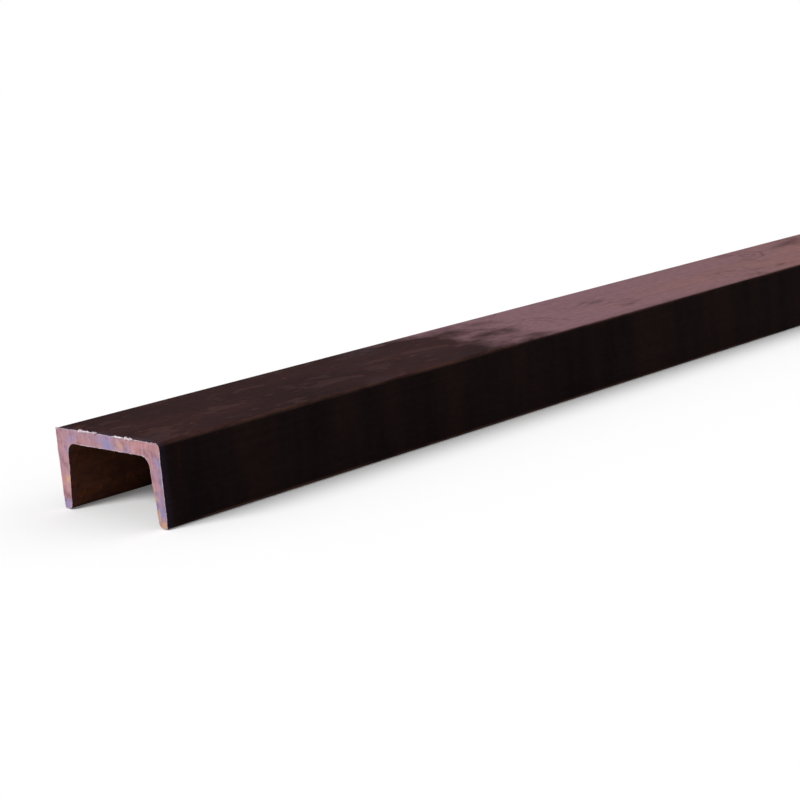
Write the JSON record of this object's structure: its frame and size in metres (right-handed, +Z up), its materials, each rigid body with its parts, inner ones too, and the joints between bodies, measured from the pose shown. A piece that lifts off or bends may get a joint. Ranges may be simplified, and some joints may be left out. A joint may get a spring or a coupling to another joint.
{
  "type": "steel channel beam",
  "caption": "Straight bar of hot-rolled steel channel, with a flat web, tapered flanges, filleted roots and rounded toes, for framing and bracing.",
  "frame": {"origin": "middle of the footprint, on the floor that the flange toes rest on", "axes": "+X along the bar, +Y across the web, +Z up from the toes to the back of the web"},
  "size_m": [3, 0.0762, 0.0381],
  "materials": {
    "rolled_steel": "matte",
    "cut_steel": "satin"
  },
  "bodies": {
    "root": {"channel_beam": "rolled_steel"}
  },
  "joints": []
}
